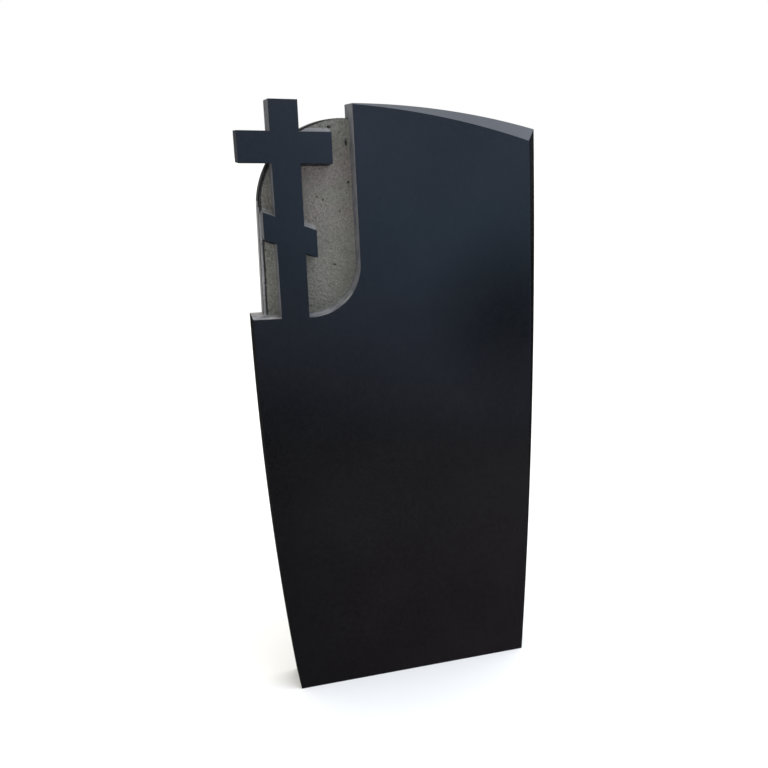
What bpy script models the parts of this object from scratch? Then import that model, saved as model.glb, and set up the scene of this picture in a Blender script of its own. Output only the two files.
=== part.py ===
"""A family headstone: one slab of polished stone with a cross cut free at its left shoulder.

Metres, +Z up. The slab stands on its flat underside with the origin at the middle of it.
The polished face looks along -Y, and +X is to the right of someone who reads the face.
"""

import math

import bmesh
import bpy
from mathutils import Matrix

# Overall sizes
HEIGHT = 1.000             # underside to the top of the cross
THICKNESS = 0.070          # polished face to back
BASE_WIDTH = 0.424         # width of the underside

# Curved sides
LEFT_BULGE = 0.036         # how far the left side stands out past the base, at the ledge
RIGHT_BULGE = 0.0155       # the same for the right side, at its widest point
RIGHT_BULGE_HEIGHT = 0.620

# Tall right part with its falling top
CROSS_RISE = 0.003         # top of the cross above the highest point of the tall part
CREST_OFFSET = 0.019       # niche wall to the highest point of the falling top
TOP_RADIUS = 1.240

# Niche and the arched slab that is left behind it
NICHE_HEIGHT = 0.327       # top of the cross down to the ledge
LEDGE_WIDTH = 0.019        # step from the left side to the foot of the arched slab's edge
NICHE_WIDTH = 0.150        # foot of the arched slab's edge to the top of the niche wall
NICHE_LEAN = 0.003         # how far the niche wall leans out on its way down to the sweep
NICHE_DEPTH = 0.040        # polished face back to the rough panel
ARCH_RADIUS = 0.139        # rounded shoulder of the arched slab
ARCH_LEAN = 0.003          # how far the slab's edge leans in before it turns into the arch
ARCH_DROP = 0.021          # highest point of the tall part down to the crown of the arch
SWEEP_RADIUS = 0.082       # hollow curve from the niche wall down to the ledge

# Cross
CROSS_INSET = 0.0465       # foot of the arched slab's edge to the centre line of the cross
SHAFT_WIDTH = 0.043
SHAFT_TOP = 0.045          # shaft above the upper bar
UPPER_BAR_LENGTH = 0.140
UPPER_BAR_DEPTH = 0.047
LOWER_BAR_LENGTH = 0.080
LOWER_BAR_DEPTH = 0.0425
LOWER_BAR_FALL = 0.0285    # from the lower bar's left end to its right end
LOWER_BAR_DROP = 0.198     # top of the cross down to the middle of the lower bar

# Bevel round the tall part, widest at the top's right corner
TOP_BEVEL_WIDTH = 0.0225   # on the face, below the top edge
SIDE_BEVEL_WIDTH = 0.0145  # on the face, beside the right side
BEVEL_DEPTH = 0.0145       # on the top and on the right side
BEVEL_END = 0.0015         # width that is left at the niche wall and at the underside

# Steps along the curved edges, and how far drawn shapes reach into or past each other
SIDE_STEPS = 40
TOP_STEPS = 40
ARCH_STEPS = 48
SWEEP_STEPS = 32
OVERLAP = 0.030
OVERSHOOT = 0.040
CORNER_ANGLE = math.radians(15)
WELD = 0.00001             # points this close become one
PLACES = 6                 # decimals that a point keeps, so to the nearest micrometre
CORNER_ROUNDS = 20         # rounds that settle the corner between top and side

# Places worked out from the sizes
LEDGE_HEIGHT = HEIGHT - NICHE_HEIGHT
FACE_Y = -THICKNESS / 2
BACK_Y = THICKNESS / 2
LEFT_EDGE = -BASE_WIDTH / 2 - LEFT_BULGE
RIGHT_EDGE = BASE_WIDTH / 2 + RIGHT_BULGE
ARCH_EDGE = LEFT_EDGE + LEDGE_WIDTH
NICHE_WALL = ARCH_EDGE + NICHE_WIDTH
CROSS_X = ARCH_EDGE + CROSS_INSET
CREST_X = NICHE_WALL + CREST_OFFSET
CREST_Z = HEIGHT - CROSS_RISE
ARCH_X = ARCH_EDGE + ARCH_LEAN + ARCH_RADIUS
ARCH_Z = CREST_Z - ARCH_DROP - ARCH_RADIUS


def spread(start, end, steps):
    """Evenly spaced values from start to end, both included."""
    return [start + (end - start) * step / steps for step in range(steps + 1)]


def stations(start, end, steps):
    """The outline's own steps, with one more past each end for a cutter."""
    return [start - OVERSHOOT] + spread(start, end, steps) + [end + OVERSHOOT]


def arc(centre_x, centre_z, radius, start, end, steps):
    """Points of an arc between two angles in radians, counted from +X towards +Z."""
    angles = spread(start, end, steps)
    return [(centre_x + radius * math.cos(a), centre_z + radius * math.sin(a)) for a in angles]


def bulge_radius(height, bulge):
    """Radius of an arc that is upright at its widest point and falls back by bulge over height."""
    return (height ** 2 + bulge ** 2) / (2 * bulge)


def left_side(z):
    """x of the left side at height z."""
    radius = bulge_radius(LEDGE_HEIGHT, LEFT_BULGE)
    return LEFT_EDGE + radius - math.sqrt(radius ** 2 - (z - LEDGE_HEIGHT) ** 2)


def right_side(z):
    """x of the right side at height z."""
    radius = bulge_radius(RIGHT_BULGE_HEIGHT, RIGHT_BULGE)
    return RIGHT_EDGE - radius + math.sqrt(radius ** 2 - (z - RIGHT_BULGE_HEIGHT) ** 2)


def top_edge(x):
    """z of the falling top at x."""
    return CREST_Z - TOP_RADIUS + math.sqrt(TOP_RADIUS ** 2 - (x - CREST_X) ** 2)


def top_corner():
    """x and z of the corner between the falling top and the right side."""
    x = RIGHT_EDGE
    for _ in range(CORNER_ROUNDS):
        x = right_side(top_edge(x))
    return x, top_edge(x)


CORNER_X, CORNER_Z = top_corner()


def body_outline():
    """Lower part and tall part: up the right side, over the top, down the niche, down the left."""
    right = [(right_side(z), z) for z in spread(0, CORNER_Z, SIDE_STEPS)]
    top = [(x, top_edge(x)) for x in spread(CORNER_X, NICHE_WALL, TOP_STEPS)]
    sweep_x = NICHE_WALL + NICHE_LEAN - SWEEP_RADIUS
    sweep_z = LEDGE_HEIGHT + SWEEP_RADIUS
    sweep = arc(sweep_x, sweep_z, SWEEP_RADIUS, 0, -math.pi / 2, SWEEP_STEPS)
    left = [(left_side(z), z) for z in spread(LEDGE_HEIGHT, 0, SIDE_STEPS)]
    return right + top[1:] + sweep + left


def arched_slab_outline():
    """The slab behind the cross, drawn on into the lower part and into the tall part."""
    foot_z = LEDGE_HEIGHT - OVERLAP
    right_x = NICHE_WALL + OVERLAP
    arch = arc(ARCH_X, ARCH_Z, ARCH_RADIUS, math.pi / 2, math.pi, ARCH_STEPS)
    crown = (right_x, ARCH_Z + ARCH_RADIUS)
    edge = [(ARCH_EDGE, LEDGE_HEIGHT), (ARCH_EDGE, foot_z)]
    return [(right_x, foot_z), crown] + arch + edge


def thickness_outline():
    """A rectangle round the whole stone, for facing it to its thickness."""
    left = LEFT_EDGE - OVERSHOOT - UPPER_BAR_LENGTH
    right = RIGHT_EDGE + OVERSHOOT
    top = HEIGHT + OVERSHOOT
    return [(left, -OVERSHOOT), (right, -OVERSHOOT), (right, top), (left, top)]


def lower_bar(x, edge):
    """Point on the slanted bar's top (edge 1) or bottom (edge -1), x from the centre line."""
    middle = HEIGHT - LOWER_BAR_DROP - x * LOWER_BAR_FALL / LOWER_BAR_LENGTH
    return (CROSS_X + x, middle + edge * LOWER_BAR_DEPTH / 2)


def cross_side(side):
    """One side of the cross from its foot to its top: side is 1 for the right, -1 for the left."""
    shaft = side * SHAFT_WIDTH / 2
    lower_end = side * LOWER_BAR_LENGTH / 2
    bar_end = CROSS_X + side * UPPER_BAR_LENGTH / 2
    bar_top = HEIGHT - SHAFT_TOP
    bar_bottom = bar_top - UPPER_BAR_DEPTH
    return [
        (CROSS_X + shaft, LEDGE_HEIGHT - 2 * OVERLAP),
        lower_bar(shaft, -1),
        lower_bar(lower_end, -1),
        lower_bar(lower_end, 1),
        lower_bar(shaft, 1),
        (CROSS_X + shaft, bar_bottom),
        (bar_end, bar_bottom),
        (bar_end, bar_top),
        (CROSS_X + shaft, bar_top),
        (CROSS_X + shaft, HEIGHT),
    ]


def cross_outline():
    """The whole cross as one closed outline."""
    return cross_side(1) + cross_side(-1)[::-1]


def shade(mesh):
    """Smooth along the curved edges, sharp at the corners."""
    mesh.shade_smooth()
    mesh.set_sharp_from_angle(angle=CORNER_ANGLE)


def extruded(name, outline, front, back, collection):
    """A closed mesh: the outline, drawn in x and z, carried from front to back along Y."""
    drawing = bpy.data.curves.new(name, "CURVE")
    drawing.dimensions = "2D"
    drawing.fill_mode = "BOTH"
    drawing.extrude = (back - front) / 2
    spline = drawing.splines.new("POLY")
    spline.points.add(len(outline) - 1)
    for point, (x, z) in zip(spline.points, outline):
        point.co = (x, z, 0, 1)
    spline.use_cyclic_u = True

    drawn = bpy.data.objects.new(name + "_drawing", drawing)
    drawn.rotation_euler = (math.pi / 2, 0, 0)
    drawn.location = (0, (front + back) / 2, 0)
    collection.objects.link(drawn)
    bpy.context.view_layer.update()

    evaluated = drawn.evaluated_get(bpy.context.evaluated_depsgraph_get())
    mesh = bpy.data.meshes.new_from_object(evaluated)
    shell = bmesh.new()
    shell.from_mesh(mesh)
    bmesh.ops.remove_doubles(shell, verts=shell.verts, dist=WELD)
    bmesh.ops.recalc_face_normals(shell, faces=shell.faces)
    shell.to_mesh(mesh)
    shell.free()
    shade(mesh)

    solid = bpy.data.objects.new(name, mesh)
    solid.matrix_world = drawn.matrix_world
    collection.objects.link(solid)
    bpy.data.objects.remove(drawn)
    settle(solid)
    return solid


def settle(solid):
    """Puts the points where they stand, rounded, so flush faces are level."""
    solid.data.transform(solid.matrix_world)
    solid.matrix_world = Matrix.Identity(4)
    for vertex in solid.data.vertices:
        vertex.co = [round(value, PLACES) for value in vertex.co]


def wedge(name, sections, collection):
    """A three-sided cutter lofted through triangles, one triangle for each station."""
    shell = bmesh.new()
    rings = [[shell.verts.new(corner) for corner in section] for section in sections]
    shell.faces.new(rings[0])
    shell.faces.new(rings[-1])
    for ring, following in zip(rings, rings[1:]):
        for corner in range(3):
            after = (corner + 1) % 3
            shell.faces.new((ring[corner], ring[after], following[after], following[corner]))
    bmesh.ops.recalc_face_normals(shell, faces=shell.faces)
    mesh = bpy.data.meshes.new(name)
    shell.to_mesh(mesh)
    shell.free()
    shade(mesh)
    cutter = bpy.data.objects.new(name, mesh)
    collection.objects.link(cutter)
    return cutter


def bevel_width(share, full_width):
    """Width on the face at a share of the way to the widest point."""
    return BEVEL_END + (full_width - BEVEL_END) * max(share, 0)


def top_bevel_section(x):
    """Triangle across the top edge at x that takes the bevel off."""
    share = (x - NICHE_WALL) / (CORNER_X - NICHE_WALL)
    width = bevel_width(share, TOP_BEVEL_WIDTH)
    slope = BEVEL_DEPTH / TOP_BEVEL_WIDTH
    low = (FACE_Y - OVERSHOOT * slope, top_edge(x) - width - OVERSHOOT)
    high = (FACE_Y + (width + OVERSHOOT) * slope, top_edge(x) + OVERSHOOT)
    return [(x, *low), (x, *high), (x, low[0], high[1])]


def side_bevel_section(z):
    """Triangle across the right edge at height z that takes the bevel off."""
    width = bevel_width(z / CORNER_Z, SIDE_BEVEL_WIDTH)
    slope = BEVEL_DEPTH / SIDE_BEVEL_WIDTH
    inner = (right_side(z) - width - OVERSHOOT, FACE_Y - OVERSHOOT * slope)
    outer = (right_side(z) + OVERSHOOT, FACE_Y + (width + OVERSHOOT) * slope)
    return [(*inner, z), (*outer, z), (outer[0], inner[1], z)]


def boolean(target, tool, operation):
    """Joins the tool to the target, or cuts it out of it."""
    step = target.modifiers.new(tool.name, "BOOLEAN")
    step.operation = operation
    step.solver = "EXACT"
    step.object = tool


def polished_granite():
    """Black polished stone."""
    material = bpy.data.materials.new("black_granite")
    material.use_nodes = True
    shader = material.node_tree.nodes["Principled BSDF"]
    shader.inputs["Base Color"].default_value = (0.012, 0.013, 0.015, 1)
    shader.inputs["Metallic"].default_value = 0
    shader.inputs["Roughness"].default_value = 0.12
    return material


def new_collection(name):
    """A collection linked under the scene."""
    collection = bpy.data.collections.new(name)
    bpy.context.scene.collection.children.link(collection)
    return collection


def build():
    """Lower and tall part, arched slab and cross joined, faced to thickness, then bevelled."""
    for old in list(bpy.data.objects):
        bpy.data.objects.remove(old)
    parts = new_collection("headstone")
    tools = new_collection("tools")

    front = [FACE_Y - OVERSHOOT * reach for reach in range(3)]
    back = [BACK_Y + OVERSHOOT * reach for reach in range(4)]
    stone = extruded("headstone", body_outline(), front[1], back[1], parts)
    stone.data.materials.append(polished_granite())
    panel_y = FACE_Y + NICHE_DEPTH
    arched_slab = extruded("arched_slab", arched_slab_outline(), panel_y, back[2], tools)
    cross = extruded("cross", cross_outline(), front[2], back[3], tools)
    thickness = extruded("thickness", thickness_outline(), front[0], back[0], tools)
    along_top = stations(NICHE_WALL, CORNER_X, TOP_STEPS)
    top_bevel = wedge("top_bevel", [top_bevel_section(x) for x in along_top], tools)
    up_side = stations(0, CORNER_Z, SIDE_STEPS)
    side_bevel = wedge("side_bevel", [side_bevel_section(z) for z in up_side], tools)

    boolean(stone, arched_slab, "UNION")
    boolean(stone, cross, "UNION")
    boolean(stone, thickness, "INTERSECT")
    boolean(stone, top_bevel, "DIFFERENCE")
    boolean(stone, side_bevel, "DIFFERENCE")
    for tool in tools.objects:
        tool.hide_render = True
        tool.display_type = "WIRE"


build()
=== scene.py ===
import math
import random

import bmesh
import bpy
import numpy as np
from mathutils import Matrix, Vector, noise


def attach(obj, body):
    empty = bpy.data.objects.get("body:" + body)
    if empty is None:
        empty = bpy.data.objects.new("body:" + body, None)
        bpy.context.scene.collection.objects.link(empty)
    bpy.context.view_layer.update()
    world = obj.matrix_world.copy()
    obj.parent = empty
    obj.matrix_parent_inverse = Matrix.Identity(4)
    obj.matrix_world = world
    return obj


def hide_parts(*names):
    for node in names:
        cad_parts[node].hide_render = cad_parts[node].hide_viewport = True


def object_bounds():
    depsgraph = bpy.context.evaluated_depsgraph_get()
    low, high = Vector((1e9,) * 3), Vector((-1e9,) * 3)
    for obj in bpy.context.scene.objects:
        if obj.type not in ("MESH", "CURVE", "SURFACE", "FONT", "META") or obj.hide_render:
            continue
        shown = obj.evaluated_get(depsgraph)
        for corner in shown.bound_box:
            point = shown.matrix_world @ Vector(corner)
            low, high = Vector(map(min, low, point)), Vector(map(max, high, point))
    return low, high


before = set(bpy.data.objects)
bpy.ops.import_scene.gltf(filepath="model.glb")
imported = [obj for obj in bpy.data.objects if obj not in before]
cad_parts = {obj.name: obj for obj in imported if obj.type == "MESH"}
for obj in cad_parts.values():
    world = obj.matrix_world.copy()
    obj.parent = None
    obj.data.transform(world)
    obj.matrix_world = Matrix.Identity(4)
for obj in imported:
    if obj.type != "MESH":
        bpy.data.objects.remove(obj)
cad_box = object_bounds()

# Front and back of the stone, and the plane of the hammered panel between them.
FRONT = cad_box[0][1]
BACK = cad_box[1][1]
PANEL = 0.005

# Heights: the ledge, a level below the cross's bars, the start of the arch, one below the falling top.
LEDGE_HEIGHT = 0.673
CROSS_BOTTOM = 0.750
ARCH_SHOULDER = 0.850
TOP_START = 0.940

# Places from the middle of the stone: the outer sides lie beyond SIDE_START, to left and right.
SIDE_START = 0.195
LEFT_ARM_END = -0.250
NICHE_WALL = -0.079

# The middle of the cross, what its shaft's sides lie within, and a gap the bars keep to the niche wall.
CROSS_MIDDLE = -0.1825
SHAFT_REACH = 0.030
BAR_GAP = 0.020

# Centre of the arch behind the cross, and a radius just inside its edge.
ARCH_CENTRE = (-0.087, 0.837)
ARCH_RIM = 0.137

# How square a face lies to an axis, as the share of its normal along it.
SQUARE = 0.99
SIDEWAYS = 0.9
UPWARD = 0.7
SLANTED = 0.3
FRONTWARD = 0.2
EDGE_ON = 0.1

# How near counts as the same place, the same point and the same plane.
SLACK = 0.001
WELD = 0.00001
FLAT_ANGLE = math.radians(0.1)

# Rubbed arrises on the outer edges, and the angle from which an edge shows as sharp.
ARRIS_WIDTH = 0.0006
ARRIS_STEPS = 2
ARRIS_ANGLE = math.radians(40)
CORNER_ANGLE = math.radians(8)

# The grid of the panel and how far its points wander, as a share of its step.
HAMMER_STEP = 0.0011
HAMMER_WANDER = 0.25
HAMMER_SEED = 7

# The hammered field: its depth, and the depth and the number per metre of blows, grit and swells.
FIELD_DEPTH = 0.0004
FIELD_FADE = 0.0015
BLOW_DEPTH = 0.0016
BLOWS_PER_METRE = 215
GRIT_DEPTH = 0.0005
GRIT_PER_METRE = 420
SWELL_DEPTH = 0.0005
SWELLS_PER_METRE = 30

# Smooth margins round the field, the one above the bars' tops painted light as lit stone; and a groove
# under the bars, painted dark as their shadow.
MARGIN = 0.0015
TOP_MARGIN = 0.0048
UNDERCUT = 0.0042
UNDERCUT_FADE = 0.0020

# The cut that follows the arched edge, and the same cut where it thins out over the crown; its dark finish
# is painted shade.
KERF_INSET = 0.0044
KERF_WIDTH = 0.0046
KERF_DEPTH = 0.0030
KERF_FADE = 0.030
KERF_NARROWING = 0.35
CROWN_KERF_WIDTH = 0.0026
CROWN_KERF_END = -0.104
CROWN_KERF_LEAST = 0.05

# Ragged borders between the finishes of the panel.
BORDER_WANDER = 0.0008
BORDER_SLACK = 0.0004
BORDERS_PER_METRE = 500

# Holes in the panel: x, z, half width, half height.
PITS = (
    (-0.1100, 0.9622, 0.0040, 0.0026),
    (-0.0835, 0.9389, 0.0024, 0.0070),
    (-0.0825, 0.8790, 0.0016, 0.0030),
    (-0.1101, 0.7498, 0.0024, 0.0020),
    (-0.1242, 0.8524, 0.0022, 0.0016),
    (-0.1334, 0.8571, 0.0018, 0.0012),
    (-0.0984, 0.8335, 0.0020, 0.0012),
    (-0.0910, 0.7733, 0.0012, 0.0020),
)
PIT_DEPTH = 0.0045
PIT_RAGGED = 0.5
PIT_RAGS_PER_METRE = 450
# From this share of the way into a hole, its inside is painted dark as shade.
PIT_DARK_FROM = 0.35

# Of these finishes, the light sawn one on the cross's tops, the arch's side and the panel's margins is
# painted light; the darker one on the cross's sides is painted shade; the near-black one in cuts and holes
# and on the arch's side under the arm is painted shade.
FINISHES = (
    "polished face", "polished edge", "sawn cut", "cross side painted shade",
    "painted light", "hammered panel", "painted shade", "sawn back",
)
WORKED = [FINISHES.index(finish) for finish in ("painted light", "hammered panel", "painted shade")]

# Colours of the polish, the sawn stone and the hammered field, with their flecks and dust.
POLISH_DARK = (0.0012, 0.0013, 0.0016, 1)
POLISH_LIGHT = (0.0050, 0.0052, 0.0056, 1)
POLISH_FLECK = (0.030, 0.031, 0.033, 1)
POLISH_HAZE = (0.045, 0.046, 0.048, 1)
SAWN_FLECK = (0.36, 0.36, 0.37, 1)
SAWN_POWDER = (0.40, 0.39, 0.385, 1)
FIELD_GREY = (0.167, 0.166, 0.143, 1)
FIELD_WARM = (0.192, 0.166, 0.153, 1)
FIELD_FLECK = (0.40, 0.39, 0.37, 1)
FIELD_DUST = (0.24, 0.235, 0.22, 1)

# The warm band across the field: its height, how far it reaches and is full, and where it weakens.
WARM_HEIGHT = 0.870
WARM_END, WARM_FULL = 0.075, 0.025
WARM_WEAK_X, WARM_FULL_X = -0.200, -0.170

# Light from each height in front of the stone, as the z of its direction.
SKY = (
    (-1.00, (0.09, 0.070, 0.09)),
    (-0.46, (0.165, 0.132, 0.155)),
    (-0.38, (0.200, 0.175, 0.195)),
    (-0.30, (0.160, 0.160, 0.200)),
    (-0.22, (0.275, 0.325, 0.485)),
    (-0.09, (0.34, 0.51, 0.74)),
    (0.00, (0.46, 0.62, 0.92)),
    (0.15, (0.70, 0.80, 1.05)),
    (0.45, (1.40, 1.37, 1.30)),
    (1.00, (2.00, 1.95, 1.80)),
)

# Shades of the sky, each with where it starts and ends and the light there.
CLOUDS = (0.3, 0.7, 0.86, 1.14)
LEFT_SHADE = (-0.90, 0.00, 0.80, 1.0)
MIDDLE_SHADE = (0.06, 0.18, 0.86, 1.0)
LOW_SHADE = (0.08, 0.34, 0.65, 1.28)
LOW_HEIGHTS = (-0.14, -0.28)

# The way to a dark place low on the right, and its shade by the distance from there.
DARK_WAY = (0.345, -0.920, -0.181)
DARK_SHADE = (0.02, 0.11, 0.32, 1.0)

# What lies behind the stone, above and below the horizon, and where it gives way to the sky.
BEHIND_HIGH = (0.075, 0.080, 0.090, 1)
BEHIND_LOW = (0.018, 0.018, 0.018, 1)
BEHIND_DEPTHS = (-0.10, 0.32)
BEHIND_HEIGHTS = (0.35, 0.12)
HORIZON = (-0.02, -0.10)
WHITE = (1, 1, 1, 1)

FLOOR_REACH = 60.0
FLOOR_COLOUR = (0.86, 0.86, 0.86, 1)
FLOOR_ROUGHNESS = 0.9

# The large soft light over the stone, in metres and watts.
LIGHT_PLACE = (1.27, -1.22, 4.0)
LIGHT_TARGET = (0.06, 0.0, 0.98)
LIGHT_SIZE = 3.5
LIGHT_POWER = 50
LIGHT_COLOUR = (0.81, 1.0, 1.38)

# The camera, with its lens and sensor in millimetres and its turn in degrees.
CAMERA_LENS = 42.047
CAMERA_SENSOR = 36.0
CAMERA_SHIFT = (-0.1680, 0.0599)
CAMERA_PLACE = (-0.3481, -1.4772, 0.9373)
CAMERA_TURN = (72.4363, -0.6861, -20.1546)


# Shader helpers

def add(tree, kind, inputs=None, **settings):
    node = tree.nodes.new(kind)
    for name, value in settings.items():
        setattr(node, name, value)
    for name, value in (inputs or {}).items():
        socket = node.inputs[name]
        if isinstance(value, bpy.types.NodeSocket):
            tree.links.new(value, socket)
        else:
            socket.default_value = value
    return node


def mixed(tree, factor, first, second, blend="MIX"):
    inputs = {0: factor, 6: first, 7: second}
    return add(tree, "ShaderNodeMix", inputs, data_type="RGBA", blend_type=blend).outputs[2]


def dimmed(tree, colour, share):
    return mixed(tree, 1.0, colour, share, "MULTIPLY")


def ranged(tree, value, low, high, to_low=0.0, to_high=1.0):
    inputs = {"Value": value, "From Min": low, "From Max": high, "To Min": to_low, "To Max": to_high}
    return add(tree, "ShaderNodeMapRange", inputs).outputs["Result"]


def maths(tree, operation, first, second=0.0):
    return add(tree, "ShaderNodeMath", {0: first, 1: second}, operation=operation).outputs[0]


def new_group(name, inputs, outputs):
    group = bpy.data.node_groups.new(name, "ShaderNodeTree")
    for label, value in inputs.items():
        socket = group.interface.new_socket(label, in_out="INPUT", socket_type="NodeSocketFloat")
        socket.default_value = value
    for label in outputs:
        group.interface.new_socket(label, in_out="OUTPUT", socket_type="NodeSocketFloat")
    start = group.nodes.new("NodeGroupInput").outputs
    end = group.nodes.new("NodeGroupOutput").inputs
    return group, start, end


def placed(tree, group, values):
    node = add(tree, "ShaderNodeGroup", node_tree=group)
    for name, value in values.items():
        node.inputs[name].default_value = value
    return node.outputs


# Effects shared by the finishes

def crystal_group():
    """Irregular grains, each with its own shade, a few pale flecks and broad clouds."""
    group, start, end = new_group("crystals", {"Size": 0.0016}, ("Shade", "Fleck", "Cloud"))
    place = add(group, "ShaderNodeTexCoord").outputs["Object"]
    per_metre = maths(group, "DIVIDE", 1.0, start["Size"])
    wobble = add(group, "ShaderNodeTexNoise", {"Vector": place, "Scale": per_metre, "Detail": 3.0})
    centred = {0: wobble.outputs["Color"], 1: (0.5, 0.5, 0.5)}
    offset = add(group, "ShaderNodeVectorMath", centred, operation="SUBTRACT")
    scaled = add(group, "ShaderNodeVectorMath", {0: offset.outputs[0]}, operation="SCALE")
    group.links.new(maths(group, "MULTIPLY", start["Size"], 0.9), scaled.inputs["Scale"])
    bent = add(group, "ShaderNodeVectorMath", {0: place, 1: scaled.outputs[0]}, operation="ADD")
    cells = add(group, "ShaderNodeTexVoronoi", {
        "Vector": bent.outputs[0], "Scale": per_metre, "Randomness": 1.0,
    })
    shade = add(group, "ShaderNodeSeparateColor", {"Color": cells.outputs["Color"]}).outputs
    group.links.new(shade["Red"], end["Shade"])
    group.links.new(ranged(group, shade["Green"], 0.90, 0.97), end["Fleck"])
    cloud = add(group, "ShaderNodeTexNoise", {
        "Vector": place, "Scale": 7.0, "Detail": 4.0, "Roughness": 0.6,
    })
    group.links.new(ranged(group, cloud.outputs["Fac"], 0.35, 0.65), end["Cloud"])
    return group


def saw_group():
    """Wandering parallel marks of the saw, and fine grit."""
    group, start, end = new_group("saw marks", {"Spacing": 0.004, "Wander": 1.5}, ("Marks", "Grit"))
    place = add(group, "ShaderNodeTexCoord").outputs["Object"]
    per_metre = maths(group, "DIVIDE", 0.32, start["Spacing"])
    waves = add(group, "ShaderNodeTexWave", {
        "Vector": place, "Scale": per_metre, "Distortion": start["Wander"],
        "Detail": 3.0, "Detail Scale": 1.5,
    }, bands_direction="Y")
    group.links.new(waves.outputs["Fac"], end["Marks"])
    grit = add(group, "ShaderNodeTexNoise", {"Vector": place, "Scale": 900.0, "Detail": 3.0})
    group.links.new(grit.outputs["Fac"], end["Grit"])
    return group


def dust_group():
    """Patches of dust, thicker on what looks up."""
    group, start, end = new_group("dust", {"Amount": 0.5, "Patch": 0.05}, ("Dust",))
    place = add(group, "ShaderNodeTexCoord").outputs["Object"]
    per_metre = maths(group, "DIVIDE", 1.0, start["Patch"])
    patches = add(group, "ShaderNodeTexNoise", {"Vector": place, "Scale": per_metre, "Detail": 5.0})
    spread = ranged(group, patches.outputs["Fac"], 0.38, 0.68)
    normal = add(group, "ShaderNodeNewGeometry").outputs["Normal"]
    upward = add(group, "ShaderNodeSeparateXYZ", {"Vector": normal}).outputs["Z"]
    settled = ranged(group, upward, -0.2, 0.8, 0.25, 1.0)
    lying = maths(group, "MULTIPLY", spread, settled)
    group.links.new(maths(group, "MULTIPLY", lying, start["Amount"]), end["Dust"])
    return group


# Finishes

def new_finish(name):
    material = bpy.data.materials.new(name)
    material.use_nodes = True
    tree = material.node_tree
    tree.nodes.clear()
    shader = add(tree, "ShaderNodeBsdfPrincipled")
    output = add(tree, "ShaderNodeOutputMaterial")
    tree.links.new(shader.outputs["BSDF"], output.inputs["Surface"])
    return material, tree, shader


def raised(tree, height, strength, distance):
    inputs = {"Height": height, "Strength": strength, "Distance": distance}
    return add(tree, "ShaderNodeBump", inputs).outputs["Normal"]


def polished(name, roughness):
    """Near-black stone with faint grains under a mirror polish."""
    material, tree, shader = new_finish(name)
    grain = placed(tree, GROUPS["crystals"], {"Size": 0.0017})
    fine = placed(tree, GROUPS["crystals"], {"Size": 0.0006})
    dust = placed(tree, GROUPS["dust"], {"Amount": 0.06, "Patch": 0.09})
    colour = mixed(tree, grain["Shade"], POLISH_DARK, POLISH_LIGHT)
    colour = mixed(tree, maths(tree, "MULTIPLY", fine["Fleck"], 0.25), colour, POLISH_FLECK)
    colour = mixed(tree, dust["Dust"], colour, POLISH_HAZE)
    tree.links.new(colour, shader.inputs["Base Color"])
    spread = ranged(tree, grain["Cloud"], 0.0, 1.0, roughness * 0.75, roughness * 1.3)
    tree.links.new(spread, shader.inputs["Roughness"])
    shader.inputs["IOR"].default_value = 1.52
    return material


def sawn(name, dark, light, spacing, depth, powder, patch):
    """Grey cut stone with marks of the saw and patches of its powder."""
    material, tree, shader = new_finish(name)
    grain = placed(tree, GROUPS["crystals"], {"Size": 0.0014})
    marks = placed(tree, GROUPS["saw marks"], {"Spacing": spacing, "Wander": 1.2})
    dust = placed(tree, GROUPS["dust"], {"Amount": powder, "Patch": patch})
    colour = mixed(tree, grain["Shade"], (*dark, 1), (*light, 1))
    colour = mixed(tree, maths(tree, "MULTIPLY", grain["Fleck"], 0.4), colour, SAWN_FLECK)
    colour = dimmed(tree, colour, ranged(tree, marks["Marks"], 0.0, 1.0, 0.94, 1.03))
    colour = mixed(tree, dust["Dust"], colour, SAWN_POWDER)
    tree.links.new(colour, shader.inputs["Base Color"])
    tree.links.new(ranged(tree, grain["Cloud"], 0.0, 1.0, 0.62, 0.82), shader.inputs["Roughness"])
    height = maths(tree, "ADD", marks["Marks"], maths(tree, "MULTIPLY", marks["Grit"], 0.6))
    tree.links.new(raised(tree, height, 0.5, depth), shader.inputs["Normal"])
    return material


def warm_share(tree):
    """How much of the warm stain lies at a place of the field."""
    place = add(tree, "ShaderNodeTexCoord").outputs["Object"]
    stain = add(tree, "ShaderNodeTexNoise", {"Vector": place, "Scale": 16.0, "Detail": 3.0}).outputs["Fac"]
    spot = add(tree, "ShaderNodeSeparateXYZ", {"Vector": place}).outputs
    from_band = maths(tree, "ABSOLUTE", maths(tree, "SUBTRACT", spot["Z"], WARM_HEIGHT))
    band = ranged(tree, from_band, WARM_END, WARM_FULL)
    across = ranged(tree, spot["X"], WARM_WEAK_X, WARM_FULL_X, 0.3, 1.0)
    return maths(tree, "MULTIPLY", ranged(tree, stain, 0.36, 0.56), maths(tree, "MULTIPLY", band, across))


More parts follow.
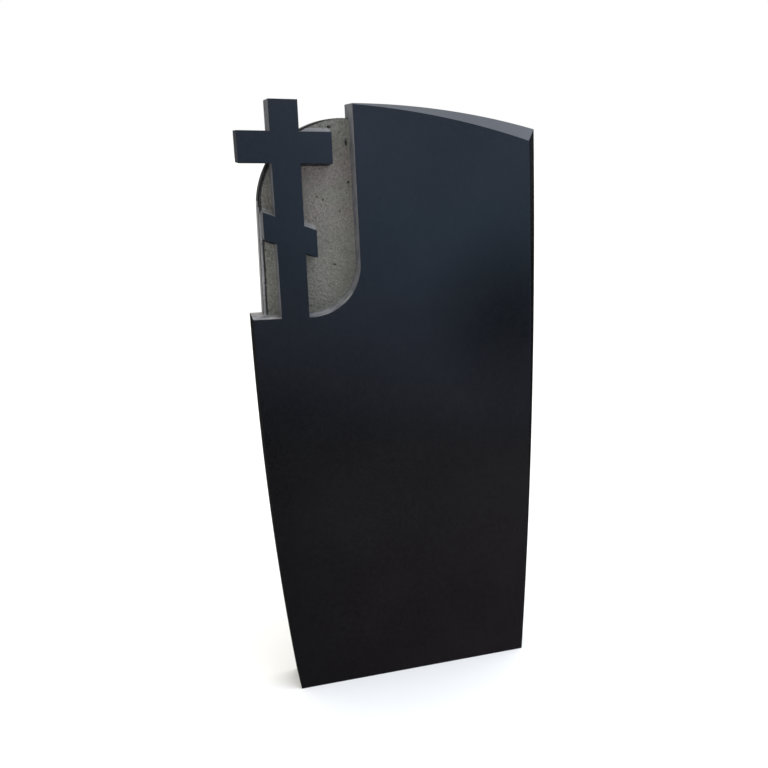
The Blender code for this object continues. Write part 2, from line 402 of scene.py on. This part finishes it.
def hammered():
    """Pale rough stone: grains in two sizes, grit, flecks, dust and a warm band."""
    material, tree, shader = new_finish("hammered panel")
    grain = placed(tree, GROUPS["crystals"], {"Size": 0.0021})
    fine = placed(tree, GROUPS["crystals"], {"Size": 0.0008})
    marks = placed(tree, GROUPS["saw marks"], {"Spacing": 0.006, "Wander": 8.0})
    dust = placed(tree, GROUPS["dust"], {"Amount": 0.5, "Patch": 0.02})
    colour = mixed(tree, warm_share(tree), FIELD_GREY, FIELD_WARM)
    colour = dimmed(tree, colour, ranged(tree, grain["Shade"], 0.0, 1.0, 0.76, 1.22))
    colour = dimmed(tree, colour, ranged(tree, fine["Shade"], 0.0, 1.0, 0.80, 1.18))
    colour = dimmed(tree, colour, ranged(tree, marks["Grit"], 0.35, 0.65, 0.82, 1.18))
    colour = mixed(tree, maths(tree, "MULTIPLY", fine["Fleck"], 0.6), colour, FIELD_FLECK)
    colour = mixed(tree, dust["Dust"], colour, FIELD_DUST)
    tree.links.new(colour, shader.inputs["Base Color"])
    tree.links.new(ranged(tree, grain["Cloud"], 0.0, 1.0, 0.78, 0.92), shader.inputs["Roughness"])
    height = maths(tree, "ADD", fine["Shade"], marks["Grit"])
    tree.links.new(raised(tree, height, 0.6, 0.0004), shader.inputs["Normal"])
    return material


GROUPS = {"crystals": crystal_group(), "saw marks": saw_group(), "dust": dust_group()}


def finishes():
    """The finishes, in the order of their names above."""
    return [
        polished("polished face", roughness=0.07),
        polished("polished edge", roughness=0.10),
        sawn(
            "sawn cut", dark=(0.096, 0.099, 0.112), light=(0.157, 0.161, 0.180),
            spacing=0.0035, depth=0.0001, powder=0.85, patch=0.020,
        ),
        # The cross's sides: a darker copy of the sawn cut, painted shade.
        sawn(
            "cross side painted shade", dark=(0.068, 0.070, 0.076), light=(0.112, 0.115, 0.124),
            spacing=0.0035, depth=0.0001, powder=0.50, patch=0.020,
        ),
        # A lit copy of the sawn stone, painted light, for the cross's tops, the arch's side and the
        # panel's margins.
        sawn(
            "painted light", dark=(0.215, 0.215, 0.218), light=(0.300, 0.300, 0.303),
            spacing=0.0020, depth=0.0001, powder=0.60, patch=0.010,
        ),
        hammered(),
        # Near-black stone that stands for shade: painted shade in the cuts and holes and on the arch's
        # side under the arm.
        sawn(
            "painted shade", dark=(0.020, 0.020, 0.019), light=(0.042, 0.041, 0.038),
            spacing=0.0020, depth=0.0001, powder=0.06, patch=0.020,
        ),
        sawn(
            "sawn back", dark=(0.075, 0.076, 0.080), light=(0.125, 0.126, 0.130),
            spacing=0.0060, depth=0.0002, powder=0.25, patch=0.250,
        ),
    ]


# The slab with its arrises, margins and hammered field

def finish_of(face):
    """The finish of a face, told by where it lies and which way it looks."""
    normal, middle = face.normal, face.calc_center_median()
    if normal.y > SQUARE or (normal.z < -SQUARE and middle.z < SLACK):
        return "sawn back"
    if normal.y < -SQUARE and abs(middle.y - PANEL) < SLACK:
        return "hammered panel"
    if normal.y < -SLANTED:
        return "polished face"

    right_side = middle.x > SIDE_START
    left_side = middle.x < -SIDE_START and middle.z < LEDGE_HEIGHT - SLACK
    top = middle.x > NICHE_WALL and middle.z > TOP_START and normal.z > SLANTED
    arm_end = middle.x < LEFT_ARM_END and normal.x < -SQUARE
    if right_side or left_side or top or arm_end:
        return "polished edge"

    # The arch's side is painted light below its shoulder, and painted shade above it, where the arm's
    # shadow falls.
    if middle.y > PANEL + SLACK and abs(normal.y) < EDGE_ON:
        if middle.z < ARCH_SHOULDER:
            return "painted light"
        if math.dist((middle.x, middle.z), ARCH_CENTRE) > ARCH_RIM:
            return "painted shade"
    # On the cross, faces that look up are painted light and the other faces painted shade.
    if middle.x < NICHE_WALL - BAR_GAP and middle.z > CROSS_BOTTOM:
        return "painted light" if normal.z > UPWARD else "cross side painted shade"
    # The shaft's sides lower down are painted shade too.
    if middle.x < CROSS_MIDDLE + SHAFT_REACH and abs(normal.x) > SIDEWAYS:
        return "cross side painted shade"
    return "sawn cut"


def start_slab(node):
    """The solid's own mesh, with whole faces in place of triangles and a finish on each."""
    slab = bmesh.new()
    slab.from_mesh(node.data)
    bmesh.ops.remove_doubles(slab, verts=slab.verts, dist=WELD)
    bmesh.ops.dissolve_limit(slab, angle_limit=FLAT_ANGLE, verts=slab.verts, edges=slab.edges)
    for face in slab.faces:
        face.material_index = FINISHES.index(finish_of(face))
    return slab


def rub_arrises(slab):
    """Rounds the sharp outer edges, without leaving the thickness of the stone."""
    sharp = []
    for edge in slab.edges:
        if edge.is_convex and edge.calc_face_angle() > ARRIS_ANGLE:
            sharp.append(edge)
    bmesh.ops.bevel(
        slab, geom=sharp, offset=ARRIS_WIDTH, offset_type="OFFSET", segments=ARRIS_STEPS,
        profile=0.5, affect="EDGES", clamp_overlap=False, miter_outer="SHARP",
    )
    for vert in slab.verts:
        vert.co.y = min(max(vert.co.y, FRONT), BACK)
    slab.normal_update()


def cut_across(slab, faces, axis, start, step):
    """Cuts the faces across the axis at every step and returns the pieces."""
    made = []
    rest = faces
    level = start
    while rest:
        level += step
        parts = set(rest)
        for face in rest:
            parts.update(face.edges)
            parts.update(face.verts)
        cut = bmesh.ops.bisect_plane(
            slab, geom=list(parts), dist=0.000001, plane_co=axis * level, plane_no=axis,
        )
        rest = []
        for part in cut["geom"]:
            if isinstance(part, bmesh.types.BMFace):
                beyond = part.calc_center_median() @ axis > level
                (rest if beyond else made).append(part)
    return made


def distances(points, starts, ends):
    """Distance from each point to the nearest of the segments."""
    nearest = np.full(len(points), 1.0)
    for a, b in zip(starts, ends):
        along = b - a
        share = np.clip((points - a) @ along / max(along @ along, 1e-12), 0, 1)
        gap = np.linalg.norm(points - a - share[:, None] * along, axis=1)
        nearest = np.minimum(nearest, gap)
    return nearest


def share_of(length, whole):
    """The length as a share of the whole, kept between 0 and 1."""
    return min(max(length / whole, 0.0), 1.0)


def waver(x, z, per_metre, layer):
    """A smooth random height between -1 and 1; each layer has a pattern of its own."""
    return noise.noise(Vector((x * per_metre, layer, z * per_metre)))


def blow_depth(x, z):
    """Depth that the bush hammer left at a point of the field."""
    gaps = noise.voronoi(Vector((x * BLOWS_PER_METRE, 0.0, z * BLOWS_PER_METRE)))[0]
    blow = max(0.0, 1.0 - gaps[0] * 1.6)
    grit = noise.fractal(Vector((x * GRIT_PER_METRE, 3.0, z * GRIT_PER_METRE)), 0.6, 2.0, 4)
    swell = waver(x, z, SWELLS_PER_METRE, 7.0)
    return FIELD_DEPTH + BLOW_DEPTH * blow + GRIT_DEPTH * grit + SWELL_DEPTH * swell


def pit_share(x, z):
    """How deep inside the nearest hole a point is, from 0 at its rim to 1 in its middle."""
    deepest = 0.0
    ragged = PIT_RAGGED * waver(x, z, PIT_RAGS_PER_METRE, 5.0)
    for middle_x, middle_z, wide, high in PITS:
        reach = math.hypot((x - middle_x) / wide, (z - middle_z) / high)
        deepest = max(deepest, 1.0 - reach * (1.0 + ragged))
    return deepest


def kerf_line(x, z):
    """Inset and width of the cut along the arched edge: on the shoulder it runs out to the edge."""
    if x > CROSS_MIDDLE:
        return 0.0, CROWN_KERF_WIDTH * max(share_of(CROWN_KERF_END - x, KERF_FADE), CROWN_KERF_LEAST)
    below = share_of(ARCH_SHOULDER - z, KERF_FADE)
    return KERF_INSET * below, KERF_WIDTH * (1.0 - KERF_NARROWING * below)


def hump(gap, width):
    """A rounded swelling, 1 in the middle of the width and 0 at its sides."""
    return max(0.0, 1.0 - (2.0 * gap / width - 1.0) ** 2)


def panel_depth(x, z, gap):
    """How deep a point of the panel is worked, from its gap to each kind of edge."""
    clear = min(gap["wall"] - MARGIN, gap["top"] - TOP_MARGIN, gap["underside"] - MARGIN)
    depth = share_of(clear, FIELD_FADE) * blow_depth(x, z)
    depth += PIT_DEPTH * math.sqrt(pit_share(x, z))
    inset, width = kerf_line(x, z)
    inside = share_of(gap["arris"] - inset, UNDERCUT_FADE)
    cut = max(hump(gap["arris"] - inset, width), inside * hump(gap["underside"], UNDERCUT))
    return max(depth, KERF_DEPTH * cut)


def panel_finish(x, z, gap):
    """The finish of the panel at a point, from its gap to each kind of edge."""
    inset, width = kerf_line(x, z)
    ragged = BORDER_WANDER * waver(x, z, BORDERS_PER_METRE, 1.0)
    in_kerf = inset - BORDER_SLACK < gap["arris"] + ragged < inset + width
    # The cut along the arched edge and the inner part of each hole are painted dark as shade.
    if in_kerf or pit_share(x, z) > PIT_DARK_FROM:
        return "painted shade"
    # The margin beside the arched edge and above the bars' tops is painted light.
    if gap["arris"] < inset or gap["top"] + ragged < TOP_MARGIN:
        return "painted light"
    # A band under the bars is painted dark as their shadow.
    if gap["underside"] + ragged < UNDERCUT:
        return "painted shade"
    return "hammered panel"


def kind_of(loop):
    """What the panel meets along one of its edges."""
    if loop.edge.is_convex:
        return "arris"
    rise = loop.link_loop_radial_next.face.normal.z
    if loop.vert.co.z < CROSS_BOTTOM or abs(rise) < UPWARD:
        return "wall"
    return "top" if rise > 0 else "underside"


def hammer(slab, face, chance):
    """Cuts one face of the panel into a fine grid and works the field and the cuts into it."""
    kinds = np.array([kind_of(loop) for loop in face.loops])
    starts = np.array([loop.vert.co.xz for loop in face.loops])
    ends = np.roll(starts, -1, axis=0)

    def gaps(points):
        """For each point, its gap to each kind of edge."""
        spots = np.array([point.xz for point in points])
        near = {}
        for kind in ("arris", "wall", "top", "underside"):
            near[kind] = distances(spots, starts[kinds == kind], ends[kinds == kind])
        return [dict(zip(near, row)) for row in zip(*near.values())]

    low = starts.min(axis=0)
    columns = cut_across(slab, [face], Vector((1, 0, 0)), low[0], HAMMER_STEP)
    cells = cut_across(slab, columns, Vector((0, 0, 1)), low[1], HAMMER_STEP)
    verts = {vert for cell in cells for vert in cell.verts}
    verts = sorted(verts, key=lambda vert: (round(vert.co.x, 5), round(vert.co.z, 5)))
    for vert, gap in zip(verts, gaps([vert.co for vert in verts])):
        nearest = min(gap.values())
        if nearest > HAMMER_STEP:
            vert.co.x += chance.uniform(-HAMMER_WANDER, HAMMER_WANDER) * HAMMER_STEP
            vert.co.z += chance.uniform(-HAMMER_WANDER, HAMMER_WANDER) * HAMMER_STEP
        if nearest > WELD:
            vert.co.y = PANEL + panel_depth(vert.co.x, vert.co.z, gap)
    middles = [cell.calc_center_median() for cell in cells]
    for cell, middle, gap in zip(cells, middles, gaps(middles)):
        cell.material_index = FINISHES.index(panel_finish(middle.x, middle.z, gap))


def shade_smoothly(slab):
    """Smooth shading with sharp corners, except between the worked faces of the panel."""
    for face in slab.faces:
        face.smooth = True
    for edge in slab.edges:
        if len(edge.link_faces) == 2 and edge.calc_face_angle() > CORNER_ANGLE:
            edge.smooth = all(
                face.material_index in WORKED and face.normal.y < -FRONTWARD for face in edge.link_faces
            )


def finished_slab(node):
    """The headstone as one closed mesh with all its finishes."""
    slab = start_slab(node)
    rub_arrises(slab)
    fields = []
    for face in slab.faces:
        if FINISHES[face.material_index] == "hammered panel" and face.normal.y < -SQUARE:
            fields.append(face)
    chance = random.Random(HAMMER_SEED)
    for face in fields:
        hammer(slab, face, chance)
    slab.normal_update()
    shade_smoothly(slab)
    mesh = bpy.data.meshes.new("slab")
    slab.to_mesh(mesh)
    slab.free()
    for finish in finishes():
        mesh.materials.append(finish)
    piece = bpy.data.objects.new("slab", mesh)
    bpy.context.scene.collection.objects.link(piece)
    return piece


# Floor, light and camera

def pale_floor():
    mesh = bpy.data.meshes.new("floor")
    corners = [(-1, -1), (1, -1), (1, 1), (-1, 1)]
    places = [(x * FLOOR_REACH, y * FLOOR_REACH, 0) for x, y in corners]
    mesh.from_pydata(places, [], [(0, 1, 2, 3)])
    floor = bpy.data.objects.new("floor", mesh)
    bpy.context.scene.collection.objects.link(floor)
    material, tree, shader = new_finish("pale floor")
    shader.inputs["Base Color"].default_value = FLOOR_COLOUR
    shader.inputs["Roughness"].default_value = FLOOR_ROUGHNESS
    shader.inputs["Specular IOR Level"].default_value = 0.0
    mesh.materials.append(material)
    floor.visible_glossy = False


def sky_ramp(tree, height):
    """The colour of the sky by the z of the direction."""
    ramp = add(tree, "ShaderNodeValToRGB", {"Fac": ranged(tree, height, -1.0, 1.0)})
    elements = ramp.color_ramp.elements
    for number, (level, colour) in enumerate(SKY):
        spot = (level + 1) / 2
        element = elements[number] if number < 2 else elements.new(spot)
        element.position = spot
        element.color = (*colour, 1)
    return ramp.outputs["Color"]


def soft_surroundings():
    """White to the eye; to the stone, a bluish sky in front, dark ground and a dark place behind."""
    world = bpy.data.worlds.new("studio")
    bpy.context.scene.world = world
    world.use_nodes = True
    tree = world.node_tree
    tree.nodes.clear()
    way = add(tree, "ShaderNodeTexCoord").outputs["Generated"]
    part = add(tree, "ShaderNodeSeparateXYZ", {"Vector": way}).outputs
    clouds = add(tree, "ShaderNodeTexNoise", {"Vector": way, "Scale": 9.0, "Detail": 3.0}).outputs["Fac"]
    from_dark = add(tree, "ShaderNodeVectorMath", {0: way, 1: DARK_WAY}, operation="DISTANCE")

    sky = dimmed(tree, sky_ramp(tree, part["Z"]), ranged(tree, clouds, *CLOUDS))
    sky = dimmed(tree, sky, ranged(tree, from_dark.outputs["Value"], *DARK_SHADE))
    for shade in (LEFT_SHADE, MIDDLE_SHADE):
        sky = dimmed(tree, sky, ranged(tree, part["X"], *shade))
    low = ranged(tree, part["Z"], *LOW_HEIGHTS)
    sky = mixed(tree, low, sky, ranged(tree, part["X"], *LOW_SHADE), "MULTIPLY")

    far_back = ranged(tree, part["Y"], *BEHIND_DEPTHS)
    behind = maths(tree, "MULTIPLY", far_back, ranged(tree, part["Z"], *BEHIND_HEIGHTS))
    dark = mixed(tree, ranged(tree, part["Z"], *HORIZON), BEHIND_HIGH, BEHIND_LOW)
    sky = mixed(tree, behind, sky, dark)
    seen = add(tree, "ShaderNodeLightPath").outputs["Is Camera Ray"]
    colour = mixed(tree, seen, sky, WHITE)
    back = add(tree, "ShaderNodeBackground", {"Color": colour, "Strength": 1.0})
    output = add(tree, "ShaderNodeOutputWorld")
    tree.links.new(back.outputs["Background"], output.inputs["Surface"])


def overhead_light():
    data = bpy.data.lights.new("overhead light", "AREA")
    data.shape = "DISK"
    data.size = LIGHT_SIZE
    data.energy = LIGHT_POWER
    data.color = LIGHT_COLOUR
    light = bpy.data.objects.new("overhead light", data)
    bpy.context.scene.collection.objects.link(light)
    light.location = LIGHT_PLACE
    towards = Vector(LIGHT_TARGET) - light.location
    light.rotation_euler = towards.to_track_quat("-Z", "Y").to_euler()


def camera():
    data = bpy.data.cameras.new("camera")
    data.lens = CAMERA_LENS
    data.sensor_width = CAMERA_SENSOR
    data.shift_x, data.shift_y = CAMERA_SHIFT
    view = bpy.data.objects.new("camera", data)
    bpy.context.scene.collection.objects.link(view)
    view.location = CAMERA_PLACE
    view.rotation_euler = [math.radians(angle) for angle in CAMERA_TURN]
    bpy.context.scene.camera = view


slab = finished_slab(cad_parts["headstone"])
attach(slab, "root")
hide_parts("headstone")

pale_floor()
soft_surroundings()
overhead_light()
camera()
bpy.context.scene.view_settings.view_transform = "Standard"
